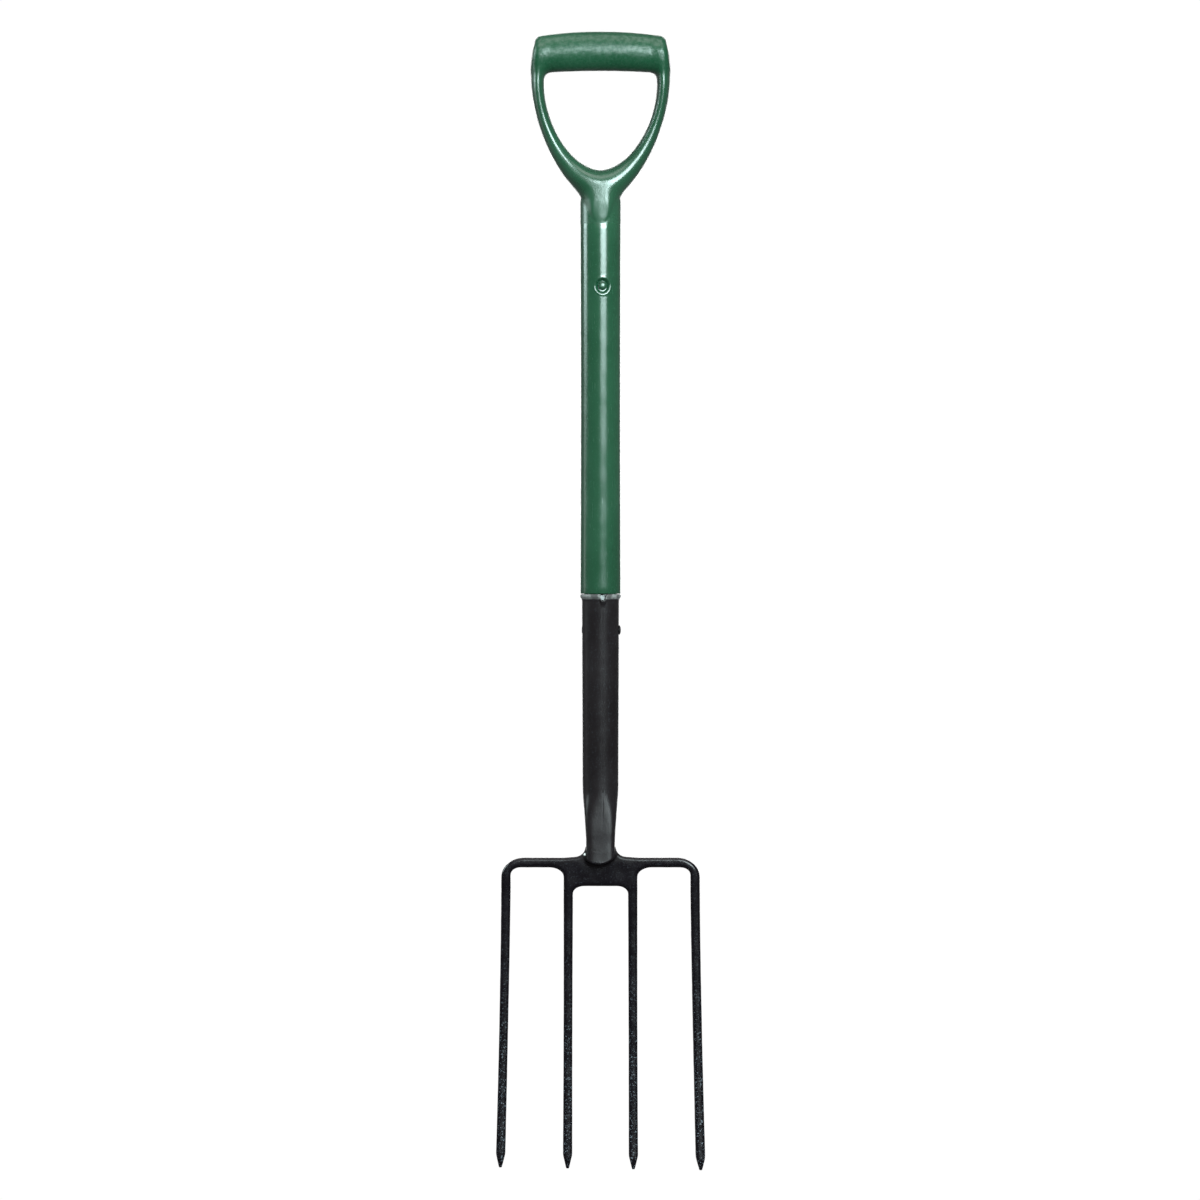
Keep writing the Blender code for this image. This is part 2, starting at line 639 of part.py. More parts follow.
def make_fork_head():
    head = head_blank()
    # The curve lies flat, so it is stood up with its outline in the XZ plane.
    head.data.transform(Matrix.Rotation(pi / 2, 4, "X"))
    heights = [POINT_LENGTH, POINT_LENGTH / 2]
    heights += [POINT_LENGTH + TINE_STEP * i for i in range(1, 11)]
    cut_across(head.data, heights)
    for vertex in head.data.vertices:
        draw_out(vertex)
        vertex.co.y -= lean(vertex.co.z)
    combine(head, "UNION", make_nose(), make_tang())
    return finish_part(head, black_paint)


clear_scene()
parts = new_collection("garden_fork")
helpers = new_collection("cutters", hidden=True)
fork = bpy.data.objects.new("fork", None)
parts.objects.link(fork)
fork.location = (0, SHAFT_Y, 0)

green_plastic = new_material("green_plastic", (0.017, 0.105, 0.053), 0.25, 0.0)
green_paint = new_material("green_paint", (0.020, 0.120, 0.060), 0.30, 0.2)
black_paint = new_material("black_paint", (0.020, 0.019, 0.020), 0.45, 0.3)
bare_steel = new_material("bare_steel", (0.45, 0.45, 0.46), 0.40, 1.0)

make_d_grip()
make_sleeve()
make_shaft_tube()
make_grip_rivet()
make_socket()
make_socket_rivet()
make_fork_head()
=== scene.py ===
"""Looks of the four-tined garden fork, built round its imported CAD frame. Metres, +Z up, front at -Y.

The grip and the forged head are even skins settled onto smooth formulas of their shapes. The sleeve, the
socket and the rivets are turned skins, with their dents, lips and seams shaped in. Every finish is
procedural."""

from math import cos, pi, radians, sin

import bmesh
import bpy
import numpy as np
from mathutils import Matrix, Vector


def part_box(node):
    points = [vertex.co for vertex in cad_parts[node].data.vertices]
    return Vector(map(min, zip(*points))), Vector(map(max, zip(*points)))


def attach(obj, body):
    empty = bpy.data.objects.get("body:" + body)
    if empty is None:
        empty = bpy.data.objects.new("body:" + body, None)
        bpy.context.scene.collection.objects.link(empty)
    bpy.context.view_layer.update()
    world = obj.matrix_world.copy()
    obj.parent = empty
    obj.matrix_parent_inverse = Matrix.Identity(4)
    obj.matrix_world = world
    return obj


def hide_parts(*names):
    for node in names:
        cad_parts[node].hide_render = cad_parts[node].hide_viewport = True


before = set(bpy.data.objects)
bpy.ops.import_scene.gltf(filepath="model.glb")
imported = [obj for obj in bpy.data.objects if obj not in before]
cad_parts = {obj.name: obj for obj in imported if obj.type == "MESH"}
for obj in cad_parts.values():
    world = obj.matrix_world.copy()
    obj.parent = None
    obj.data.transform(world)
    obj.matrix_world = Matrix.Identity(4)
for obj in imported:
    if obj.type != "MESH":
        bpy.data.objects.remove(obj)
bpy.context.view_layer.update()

# Places read from the frame.
SLEEVE_LOW, SLEEVE_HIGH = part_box("shaft_sleeve")
SOCKET_LOW, SOCKET_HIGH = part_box("socket")
TUBE_LOW, TUBE_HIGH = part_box("shaft_tube")
GRIP_LOW, GRIP_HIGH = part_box("d_grip")
GRIP_RIVET_LOW, GRIP_RIVET_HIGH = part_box("grip_rivet")
SOCKET_RIVET_LOW, SOCKET_RIVET_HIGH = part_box("socket_rivet")
SHAFT_Y = (TUBE_LOW.y + TUBE_HIGH.y) / 2
TUBE_RADIUS = (TUBE_HIGH.x - TUBE_LOW.x) / 2
SLEEVE_RADIUS = (SLEEVE_HIGH.x - SLEEVE_LOW.x) / 2
BAR_TOP = GRIP_HIGH.z
GAP = 0.0003  # between separate pieces

# The grip.
BAR_RADIUS = 0.01785
BAR_END_RADIUS = 0.0167
BAR_HALF_LENGTH = 0.0598
BAR_ARCH = 0.0036
BAR_ROUNDING = 0.0048
BAR_END_SLANT = 0.06
BAR_SLANT_REACH = (-0.03, 0.004)  # how far above and below the bar's axis the slant goes on
LOOP_HALF_WIDTH = 0.0504
LOOP_BOTTOM = BAR_TOP - 0.1244
LOOP_SIDE_Z = BAR_TOP - 0.0494
LOOP_POWER = 1.8  # 2 would make the hand hole's foot an ellipse
LOOP_TOP_INSET = 0.0013
ARM_HALF_WIDTH = GRIP_HIGH.x + 0.0003
ARM_SIDE_Z = BAR_TOP - 0.0444
ARM_FOOT_Z = BAR_TOP - 0.1554
ARM_POWER = 1.65
ARM_TOP_INSET = 0.0034
ARM_ROOT_Z = BAR_TOP - 0.0170
ARM_TOP_DEPTH = 0.0150
ARM_MID_DEPTH = 0.0115
ARM_TOP_BLEND = 0.0040
ARM_ROUNDING = 0.0030
LOOP_BLEND = 0.0070  # where the arms run into the bar
YOKE_DEPTH = 0.0194
SEAM_Z = SLEEVE_HIGH.z + GAP
SHOULDER_TOP_Z = SEAM_Z + 0.0235
SHOULDER_ROUNDING = 0.0038
TONGUE_TIP_HALF_WIDTH = 0.0077
TONGUE_FLARE = 0.445  # half-width gained per unit of height
TONGUE_BLEND = 0.0030
YOKE_FULL_Z = SEAM_Z + 0.0330
YOKE_FADE = 0.0200  # height over which the yoke's front turns into the arms'
YOKE_CURVE = 0.0480
YOKE_EDGE_LOW = 0.0045  # width of the rounding along the yoke's edge, at the seam and between the arms
YOKE_EDGE_HIGH = 0.0150
YOKE_EDGE_START = 0.0060  # above the seam
YOKE_EDGE_RISE = 0.0260
YOKE_EDGE_BLEND = 0.0060
SPIGOT_RADIUS = TUBE_RADIUS - 0.0019
SPIGOT_BOTTOM = GRIP_LOW.z
SPIGOT_ROUNDING = 0.0015
RIM_REACH = 0.00045
SEAM_LAP = 0.0006
GRIP_RIVET_Z = (GRIP_RIVET_LOW.z + GRIP_RIVET_HIGH.z) / 2
GRIP_RIVET_TURN = radians(6.0)
RIVET_HOLE_RADIUS = 0.0028

# The sleeve.
SLEEVE_FACE = SLEEVE_RADIUS - 0.00004
SLEEVE_WAIST = 0.00036
SLEEVE_EASE = 0.00020
BORE = TUBE_RADIUS + GAP
RECESS_DEPTH = 0.0024  # of the dish round the rivet's head
RECESS_FLOOR = 0.0046  # radius
RECESS_SLOPE = 0.0027  # width
RECESS_LIP = (0.00022, 0.0080, 0.0008)  # height, radius and width of the raised lip round it

# The socket.
SOCKET_FOOT_Z = SOCKET_LOW.z - 0.0040  # the socket's skin laps the neck by this much
TAPER_TOP_Z = 0.3500
TAPER_TOP_RADIUS = 0.0162
TAPER_FOOT_RADIUS = 0.0130
BARREL_GROWTH = 0.0005
BARREL_LENGTH = 0.1500
WALL = 0.0016
LIP_RADIUS = 0.0183
LIP_FADE = 0.0090
SEAM_TURN = radians(8.0)
NOTCH_DEPTH = 0.0050
NOTCH_HALF_WIDTH = 0.0014
NOTCH_SLOPE = 0.0018
GROOVE = (0.00012, 0.0006)  # depth and width of the rolled seam
RIVET_DENT = (0.00015, 0.0065)  # depth and reach of the dent that riveting left

# The rivets: each head is (radius, height).
RIVET_SHANK = 0.0025
GRIP_RIVET_BASE = 0.0162
GRIP_RIVET_HEAD = (0.0040, 0.0022)
GRIP_RIVET_TAIL = -0.0194
SOCKET_RIVET_Z = (SOCKET_RIVET_LOW.z + SOCKET_RIVET_HIGH.z) / 2
SOCKET_RIVET_TURN = pi / 2
SOCKET_RIVET_HEAD = (0.0043, 0.0019)
BURR_BORE = 0.0028
BURR_RADIUS = 0.0048
BURR_TOP = 0.0188
BURR_FOOT = 0.0178

# The head.
CRANK_TOP_Z = 0.3500
CRANK_BOTTOM_Z = 0.2850
CRANK = 0.0090  # how far forward the neck brings the head
DISH = 0.0160  # how far forward the tines curve by their points
TREAD_Z = 0.2808
TREAD_INNER_X = 0.0340
SHOULDER_X = 0.0893
SHOULDER_WIDTH = 0.0205
SHOULDER_DROP = 0.0175
SHOULDER_BAR = 0.0088  # height of the bar over the gaps beside the plate
OUTER_CORNER = (0.0090, 0.0065)  # width and height of the rounding in each corner under the plate
INNER_CORNER = (0.0130, 0.0085)
MIDDLE_CORNER = (0.0100, 0.0068)
NECK_X = 0.0127
NECK_FILLET_TOP_Z = 0.2925
NECK_FILLET_FOOT = (0.0235, 0.2815)
HEAD_HALF_DEPTH = 0.0052
HEAD_CHAMFER = 0.0019
EDGE_BLEND = 0.0009
PLATE_BOTTOM_Z = 0.2552
OUTER_TINE_X = 0.0850
INNER_TINE_X = 0.0290
TINE_HALF_WIDTH = 0.0042
TINE_TOP_Z = 0.2600
TINE_FREE_Z = 0.2500  # below it each tine follows its own axis
TINE_SLIM_Z = 0.2720
TINE_SLIM_LENGTH = 0.0500
TINE_SLIM_SHARE = 0.25  # how much thinner the tines are than the plate
TINE_WAIST = 0.94  # share of the full width halfway down
TINE_WAIST_GAIN = 0.07  # and how much more of it at either end
OUTER_TINE_SPLAY = 0.0051
INNER_TINE_SPLAY = 0.0006
SPLAY_POWER = 1.35
TIP_SIDE_START = 0.0124  # heights where the grinding of a point starts, on its sides and its front
TIP_FRONT_START = 0.0088
TIP_HALF_WIDTH = 0.0012
TIP_TWIST = radians(7.0)
TWIST_LENGTH = 0.1200
TIP_BLEND = 0.0004
TIP_RISE = (0.0026, 0.0017, 0.0009, 0.0)  # how high each point ends, left to right
NECK_STRAIGHT_Z = 0.3020
NECK_SLOPE = 0.125
NECK_ROUND_Z = 0.3400
NECK_SQUARE_Z = 0.3040
NECK_ROUND_POWER = 2.0
NECK_SQUARE_POWER = 5.5
NOSE_RADIUS = 0.0130
NOSE_BOTTOM_Z = 0.2745
NOSE_ARCH = 0.0052  # how much higher the foot's edge is at its sides
NOSE_TILT = 0.0012
NOSE_ROUNDING = 0.0012
PLATE_TOP_Z = 0.2915
PLATE_TOP_BLEND = 0.0030
TANG_RADIUS = 0.0110
TANG_TOP = 0.3320
TANG_ROUNDING = 0.0010
WELD_BLEND = 0.0030
WELD_RADIUS = 0.0011
WELD_RIPPLE = 0.0003
NECK_INSET = 0.0002
NECK_TOP_Z = SOCKET_LOW.z - 0.0001
GLINT_SPOT = (-0.0142, -0.0108, 0.2839)  # painted highlight on a bead of spatter: a bright grey spot standing in for its glint
SPATTER_BLEND = 0.0006
SKIN_UNEVENNESS = 0.00006
SPATTER = (  # weld spatter: place and radius
    ((-0.0142, -0.0100, 0.2838), 0.0012),
    ((-0.0136, -0.0118, 0.2868), 0.0006),
    ((0.0163, -0.0118, 0.2815), 0.0008),
    ((0.0105, 0.0060, 0.2742), 0.0009),
)


def smoothstep(t):
    t = np.clip(t, 0.0, 1.0)
    return t * t * (3 - 2 * t)


def smooth_min(a, b, blend):
    """Union of two fields, rounded over a distance."""
    share = np.clip(0.5 + 0.5 * (b - a) / blend, 0.0, 1.0)
    return b + (a - b) * share - blend * share * (1 - share)


def smooth_max(a, b, blend):
    return -smooth_min(-a, -b, blend)


def rounded_max(a, b, radius):
    """Where two fields overlap, with a round edge of that radius."""
    a, b = a + radius, b + radius
    return np.hypot(np.maximum(a, 0), np.maximum(b, 0)) + np.minimum(np.maximum(a, b), 0) - radius


def oval_distance(u, v, half_u, half_v, power=2.0):
    """Near enough the signed distance from a superellipse, and true close to it."""
    u, v = np.abs(u) / half_u, np.abs(v) / half_v
    reach = np.maximum((u**power + v**power) ** (1 / power), 1e-6)
    slope = np.hypot((u / reach) ** (power - 1) / half_u, (v / reach) ** (power - 1) / half_v)
    return (reach - 1) / np.maximum(slope, 1e-3)


def lean(z):
    """How far forward the neck and the tines sit at a height."""
    crank = CRANK * smoothstep((CRANK_TOP_Z - z) / (CRANK_TOP_Z - CRANK_BOTTOM_Z))
    return crank + DISH * np.maximum(0.0, (TREAD_Z - z) / TREAD_Z) ** 2


def neck_lean(z):
    """How far forward the neck's own axis sits. Its foot keeps leaning where the forging turns upright."""
    below = NECK_STRAIGHT_Z - z
    return np.where(below > 0, lean(np.float64(NECK_STRAIGHT_Z)) + NECK_SLOPE * below, lean(z))


def neck_power(z):
    """The neck's section is round above the crank and is forged nearly square by its foot."""
    squared = smoothstep((NECK_ROUND_Z - z) / (NECK_ROUND_Z - NECK_SQUARE_Z))
    return NECK_ROUND_POWER + (NECK_SQUARE_POWER - NECK_ROUND_POWER) * squared


def wobble(points, size, seed):
    """Smooth unevenness between -1 and 1 that repeats nowhere on the tool."""
    rng = np.random.default_rng(seed)
    total = np.zeros(len(points))
    for _ in range(7):
        direction = rng.normal(size=3)
        direction *= 2 * pi / (size * rng.uniform(0.7, 1.5) * np.linalg.norm(direction))
        total += np.sin(points @ direction + rng.uniform(0, 2 * pi))
    return total / 4.5


# Meshes.


def link_mesh(name, mesh):
    piece = bpy.data.objects.new(name, mesh)
    bpy.context.scene.collection.objects.link(piece)
    return piece


def points_of(mesh):
    flat = np.empty(len(mesh.vertices) * 3, np.float32)
    mesh.vertices.foreach_get("co", flat)
    return flat.reshape(-1, 3).astype(float)


def set_points(mesh, points):
    mesh.vertices.foreach_set("co", points.astype(np.float32).ravel())
    mesh.update()


def even_skin(node, name, voxel):
    """Even quad skin over a CAD node, as a new piece."""
    bm = bmesh.new()
    bm.from_mesh(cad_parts[node].data)
    bmesh.ops.remove_doubles(bm, verts=bm.verts, dist=1e-6)
    mesh = bpy.data.meshes.new(name)
    bm.to_mesh(mesh)
    bm.free()
    piece = link_mesh(name, mesh)
    remesh = piece.modifiers.new("Skin", "REMESH")
    remesh.mode = "VOXEL"
    remesh.voxel_size = voxel
    graph = bpy.context.evaluated_depsgraph_get()
    skin = bpy.data.meshes.new_from_object(piece.evaluated_get(graph))
    piece.modifiers.clear()
    piece.data = skin
    bpy.data.meshes.remove(mesh)
    skin.name = name
    return piece


def settle(piece, field, rounds=5, most=0.0008):
    """Moves each vertex onto the surface where the field is zero."""
    points = points_of(piece.data)
    step = 1e-5
    for _ in range(rounds):
        value = field(points)
        slope = np.stack(
            [(field(points + step * axis) - value) / step for axis in np.eye(3)], axis=1
        )
        size = np.maximum((slope**2).sum(1), 0.05)
        move = np.clip(value / size, -most, most)
        points -= slope * move[:, None]
    set_points(piece.data, points)
    return piece


def skin_rows(name, rows, closed=False):
    """Quad skin through rows of points. Each row runs round, and closed joins the last row to the first."""
    rows = np.asarray(rows)
    count, around = rows.shape[:2]
    index = np.arange(count * around).reshape(count, around)
    if closed:
        index = np.vstack([index, index[:1]])
    low, high = index[:-1], index[1:]
    quads = np.stack([low, np.roll(low, -1, 1), np.roll(high, -1, 1), high], axis=-1)
    mesh = bpy.data.meshes.new(name)
    mesh.from_pydata(rows.reshape(-1, 3).tolist(), [], quads.reshape(-1, 4).tolist())
    return link_mesh(name, mesh)


def face_out(mesh):
    bm = bmesh.new()
    bm.from_mesh(mesh)
    bmesh.ops.recalc_face_normals(bm, faces=bm.faces)
    bm.to_mesh(mesh)
    bm.free()


def finish_piece(piece, material, slot, *nodes, sharp=40):
    """Shades a piece, gives it its finish, and hangs it on the frame in place of CAD nodes."""
    face_out(piece.data)
    piece.data.materials.clear()
    piece.data.materials.append(material)
    piece.data.shade_smooth()
    piece.data.set_sharp_from_angle(angle=radians(sharp))
    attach(piece, "root")
    if nodes:
        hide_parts(*nodes)
    return piece


# The grip.


def inner_outline(x, z):
    """Distance in the grip's plane from the edge of the hand hole, positive outside the hole."""
    above = np.maximum(z - LOOP_SIDE_Z, 0) / (ARM_ROOT_Z - LOOP_SIDE_Z)
    drop = np.maximum(LOOP_SIDE_Z - z, 0)
    width = LOOP_HALF_WIDTH - LOOP_TOP_INSET * above**2
    return oval_distance(x, drop, width, LOOP_SIDE_Z - LOOP_BOTTOM, LOOP_POWER)


def outer_outline(x, z):
    """Distance in the grip's plane from the outside of the arms, positive outside them."""
    above = np.maximum(z - ARM_SIDE_Z, 0) / (ARM_ROOT_Z - ARM_SIDE_Z)
    drop = np.maximum(ARM_SIDE_Z - z, 0)
    width = ARM_HALF_WIDTH - ARM_TOP_INSET * above**2
    return oval_distance(x, drop, width, ARM_SIDE_Z - ARM_FOOT_Z, ARM_POWER)


def yoke_edge(x, z):
    """Distance from the silhouette of the arms and of the tongue that narrows down between them."""
    half = TONGUE_TIP_HALF_WIDTH + TONGUE_FLARE * (z - SEAM_Z)
    tongue = (np.abs(x) - half) / np.hypot(1, TONGUE_FLARE)
    # The tongue stops between the arms, short of the hand hole.
    tongue = tongue + 4 * np.maximum(z - YOKE_FULL_Z - 0.004, 0)
    return smooth_min(outer_outline(x, z), tongue, TONGUE_BLEND)


def frame_depth(x, z):
    """Half the thickness of the arms, and of the yoke down to where it lies flush with the sleeve."""
    rise = np.maximum(ARM_SIDE_Z - z, 0) / (ARM_SIDE_Z - ARM_FOOT_Z)
    run = np.abs(x) / ARM_HALF_WIDTH
    turn = np.arctan2(rise ** (ARM_POWER / 2), run ** (ARM_POWER / 2)) / (pi / 2)
    arms = ARM_TOP_DEPTH + (ARM_MID_DEPTH - ARM_TOP_DEPTH) * smoothstep(turn * 3)
    arms += (YOKE_DEPTH - ARM_MID_DEPTH) * smoothstep((turn - 0.35) / 0.65)
    up = (z - SEAM_Z) / (YOKE_FULL_Z - SEAM_Z)
    middle = SLEEVE_RADIUS + (YOKE_DEPTH - SLEEVE_RADIUS) * smoothstep(up * 1.6)
    curve = middle + (YOKE_CURVE - middle) * smoothstep(up * 1.3)
    yoke = middle * np.sqrt(np.maximum(1 - (x / curve) ** 2, 0.12))
    return yoke + (arms - yoke) * smoothstep((z - YOKE_FULL_Z) / YOKE_FADE)


def arms_field(x, y, z):
    """Arms and yoke, with edges rounded over half their width, or less where the yoke is wide."""
    inside, outside = inner_outline(x, z), -yoke_edge(x, z)
    up = smoothstep((z - SEAM_Z - YOKE_EDGE_START) / YOKE_EDGE_RISE)
    widest = YOKE_EDGE_LOW + (YOKE_EDGE_HIGH - YOKE_EDGE_LOW) * up
    half = -smooth_max(-(inside + outside) / 2, -widest, YOKE_EDGE_BLEND)
    half = np.maximum(half, 0.0005)
    across = np.maximum(smooth_max(-inside, -outside, ARM_ROUNDING) + half, 0)
    return smooth_max(oval_distance(across, y, half, frame_depth(x, z)), z - ARM_ROOT_Z, ARM_TOP_BLEND)


def bar_field(x, y, z):
    """Cross bar: slimmer, lower and slanted at its ends."""
    share = (x / BAR_HALF_LENGTH) ** 2
    radius = BAR_RADIUS + (BAR_END_RADIUS - BAR_RADIUS) * share
    middle = BAR_TOP - BAR_RADIUS - BAR_ARCH * share
    end = np.abs(x) - BAR_HALF_LENGTH - BAR_END_SLANT * np.clip(BAR_TOP - BAR_RADIUS - z, *BAR_SLANT_REACH)
    return rounded_max(np.hypot(y, z - middle) - radius, end, BAR_ROUNDING)


def grip_field(points):
    """Whole grip: loop, shoulder and spigot, less the rivet's hole."""
    x, y, z = points[:, 0], points[:, 1] - SHAFT_Y, points[:, 2]
    radius = np.hypot(x, y)
    shoulder = rounded_max(radius - SLEEVE_RADIUS, z - SHOULDER_TOP_Z, SHOULDER_ROUNDING)
    loop = smooth_min(arms_field(x, y, z), bar_field(x, y, z), LOOP_BLEND)
    grip = smooth_min(loop, shoulder, 0.0001 + 0.0014 * smoothstep((z - SEAM_Z) / 0.0060))
    grip = np.maximum(grip, SEAM_Z - z)
    spigot = rounded_max(radius - SPIGOT_RADIUS, SPIGOT_BOTTOM - z, SPIGOT_ROUNDING)
    grip = np.minimum(grip, np.maximum(spigot, z - SHOULDER_TOP_Z))
    across = x * cos(GRIP_RIVET_TURN) + y * sin(GRIP_RIVET_TURN)
    hole = np.hypot(across, z - GRIP_RIVET_Z) - RIVET_HOLE_RADIUS
    return np.maximum(grip, -hole)


def crisp_rim(mesh):
    """Draws the vertices nearest the grip's lower rim onto it, for a clean line at the sleeve."""
    points = points_of(mesh)
    x, y = points[:, 0], points[:, 1] - SHAFT_Y
    radius = np.hypot(x, y)
    near = (np.abs(points[:, 2] - SEAM_Z) < RIM_REACH) & (radius > SLEEVE_RADIUS - RIM_REACH)
    points[near, 2] = SEAM_Z
    grow = SLEEVE_RADIUS / radius[near]
    points[near, 0] = x[near] * grow
    points[near, 1] = SHAFT_Y + y[near] * grow
    set_points(mesh, points)


def make_grip():
    grip = settle(even_skin("d_grip", "grip", 0.0007), grip_field)
    crisp_rim(grip.data)
    return finish_piece(grip, green_grip, "green_plastic", "d_grip", sharp=60)


# The sleeve.


def spaced(start, stop, step):
    """Even values from start to stop, about a step apart."""
    return np.linspace(start, stop, max(2, round(abs(stop - start) / step) + 1))


def refined(start, stop, coarse, fine, middle, reach):
    """Values from start to stop, closer together within reach of the middle."""
    reach = reach if stop > start else -reach
    parts = [
        spaced(start, middle - reach, coarse),
        spaced(middle - reach, middle + reach, fine),
        spaced(middle + reach, stop, coarse),
    ]
    return np.concatenate([parts[0], parts[1][1:], parts[2][1:]])


def turns_round(front, reach, coarse=radians(4), fine=radians(0.9)):
    """Angles once round the shaft from its front towards +X, closer together near one direction."""
    turns = refined(front - pi, front + pi, coarse, fine, front, reach)
    return turns[:-1]


def section(turns, power):
    """How much farther out a superellipse lies than a circle, by angle."""
    return (np.abs(np.sin(turns)) ** power + np.abs(np.cos(turns)) ** power) ** (-1 / power)


def ring(radius, turns, z):
    """Row of points round the shaft's axis."""
    radius = np.broadcast_to(radius, turns.shape)
    z = np.broadcast_to(z, turns.shape)
    return np.stack([radius * np.sin(turns), SHAFT_Y - radius * np.cos(turns), z], axis=-1)


def eased_edge(z, up):
    """Radius and height over the sleeve's rounded edge, from a height upwards (1) or downwards (-1)."""
    for angle in (30, 60, 90):
        a = radians(angle)
        yield SLEEVE_FACE - SLEEVE_EASE * (1 - cos(a)), z + up * SLEEVE_EASE * sin(a)


def sleeve_face(turns, z, top, bottom):
    """Outside of the sleeve at a height: slightly waisted, with the dish and its lip."""
    lip_height, lip_radius, lip_width = RECESS_LIP
    radius = SLEEVE_FACE - SLEEVE_WAIST * sin(pi * (top - z) / (top - bottom))
    away = np.hypot(SLEEVE_RADIUS * (turns - GRIP_RIVET_TURN), z - GRIP_RIVET_Z)
    recess = RECESS_DEPTH * (1 - smoothstep((away - RECESS_FLOOR) / RECESS_SLOPE))
    lip = lip_height * np.exp(-(((away - lip_radius) / lip_width) ** 2))
    return radius - recess + lip


def make_sleeve():
    """The sleeve: slightly waisted, eased at both ends, with the dished ring round the rivet's head."""
    top, bottom = SEAM_Z + SEAM_LAP, SLEEVE_LOW.z
    turns = turns_round(GRIP_RIVET_TURN, radians(30))
    high, low = top - SLEEVE_EASE, bottom + SLEEVE_EASE
    heights = refined(low, high, 0.0060, 0.0004, GRIP_RIVET_Z, 0.0100)
    rows = [ring(sleeve_face(turns, z, top, bottom), turns, z) for z in heights]
    rows += [ring(radius, turns, z) for radius, z in eased_edge(high, 1)]
    rows += [ring(BORE, turns, z) for z in (top, top - 0.1, bottom + 0.1, bottom)]
    rows += [ring(radius, turns, z) for radius, z in reversed(list(eased_edge(low, -1)))]
    sleeve = skin_rows("sleeve", rows, closed=True)
    return finish_piece(sleeve, green_sleeve, "green_plastic", "shaft_sleeve")


# The socket.


def socket_radius(z):
    barrel = TAPER_TOP_RADIUS + BARREL_GROWTH * smoothstep((z - TAPER_TOP_Z) / BARREL_LENGTH)
    share = smoothstep((z - SOCKET_LOW.z) / (TAPER_TOP_Z - SOCKET_LOW.z))
    tapered = TAPER_FOOT_RADIUS + (TAPER_TOP_RADIUS - TAPER_FOOT_RADIUS) * share
    return np.where(z > TAPER_TOP_Z, barrel, tapered)


def lip_profile(barrel):
    """Drop from the mouth and radius, from the rolled lip's inner edge out and down to the barrel."""
    return [
        (0.0000, BORE + 0.0002),
        (0.0000, LIP_RADIUS - 0.0014),
        (0.0002, LIP_RADIUS - 0.0006),
        (0.0006, LIP_RADIUS - 0.0001),
        (0.0012, LIP_RADIUS),
        (0.0022, LIP_RADIUS),
        (0.0030, LIP_RADIUS - 0.0003),
        (0.0038, LIP_RADIUS - 0.0010),
        (0.0046, barrel + 0.0003),
        (0.0056, barrel + 0.0001),
        (0.0068, barrel),
    ]


def socket_face(turns, z, from_seam, barrel):
    """Outside of the socket at a height, with the rolled seam and the dent at the rivet's head."""
    depth, width = GROOVE
    groove = depth * np.exp(-((from_seam / width) ** 2)) * smoothstep((z - 0.30) / 0.05)
    depth, reach = RIVET_DENT
    away = np.hypot(barrel * (turns - SOCKET_RIVET_TURN), z - SOCKET_RIVET_Z)
    dent = depth * np.exp(-((away / reach) ** 2))
    return (socket_radius(z) - groove - dent) * section(turns, neck_power(z))


def socket_bore(turns, z):
    """Inside of the socket: the tube's bore, or a wall's thickness in from the neck."""
    inner = min(BORE, float(socket_radius(z)) - WALL)
    return inner * section(turns, neck_power(z))


def make_socket():
    """The socket: a rolled lip notched where its seam ends, a slight seam below it, and a cranked neck."""
    mouth, foot = SOCKET_HIGH.z, SOCKET_FOOT_Z
    turns = turns_round(SEAM_TURN, radians(24), fine=radians(0.5))
    barrel = float(socket_radius(mouth))
    from_seam = barrel * (turns - SEAM_TURN)
    notch = NOTCH_DEPTH * (1 - smoothstep((np.abs(from_seam) - NOTCH_HALF_WIDTH) / NOTCH_SLOPE))
    lip = lip_profile(barrel)
    start = mouth - lip[-1][0]
    rows = [ring(radius, turns, mouth - drop - notch) for drop, radius in lip]
    # The notch fades out below the lip.
    for t in (0.2, 0.4, 0.6, 0.8):
        rows.append(ring(barrel, turns, start - LIP_FADE * t - notch * (1 - smoothstep(t))))
    heights = refined(start - LIP_FADE, TAPER_TOP_Z, 0.0050, 0.0010, SOCKET_RIVET_Z, 0.0080)
    heights = np.concatenate([heights, spaced(TAPER_TOP_Z, foot, 0.0025)[1:]])
    rows += [ring(socket_face(turns, z, from_seam, barrel), turns, z) for z in heights]
    rows += [ring(socket_bore(turns, z), turns, z) for z in spaced(foot, TAPER_TOP_Z, 0.0050)]
    rows.append(ring(BORE, turns, mouth - 0.0080))
    rows.append(ring(BORE, turns, mouth - 0.0010 - notch))
    socket = skin_rows("socket_skin", rows, closed=True)
    points = points_of(socket.data)
    points[:, 1] -= neck_lean(points[:, 2])
    set_points(socket.data, points)
    return finish_piece(socket, black_paint, "black_paint", "socket")


# Rivets.


def turned_rows(profile, steps):
    """Rows once round an axis for a profile of (radius, height)."""
    turns = np.linspace(0, 2 * pi, steps, endpoint=False)
    return [
        np.stack([radius * np.cos(turns), radius * np.sin(turns), np.full(steps, height)], axis=-1)
        for radius, height in profile
    ]


def turned_piece(name, profile, turn, steps=40):
    """Solid turned piece from a profile of (radius, height) that starts and ends on the axis."""
    piece = skin_rows(name, turned_rows(profile, steps))
    bm = bmesh.new()
    bm.from_mesh(piece.data)
    bmesh.ops.remove_doubles(bm, verts=bm.verts, dist=1e-6)
    bmesh.ops.holes_fill(bm, edges=bm.edges)
    bm.to_mesh(piece.data)
    bm.free()
    piece.data.transform(turn)
    return piece


def outward(angle, z):
    """Matrix that stands a piece's Z axis out from the shaft's axis at a height. Zero is the front."""
    direction = Vector((sin(angle), -cos(angle), 0))
    turn = direction.to_track_quat("Z", "Y").to_matrix().to_4x4()
    return Matrix.Translation((0, SHAFT_Y, z)) @ turn


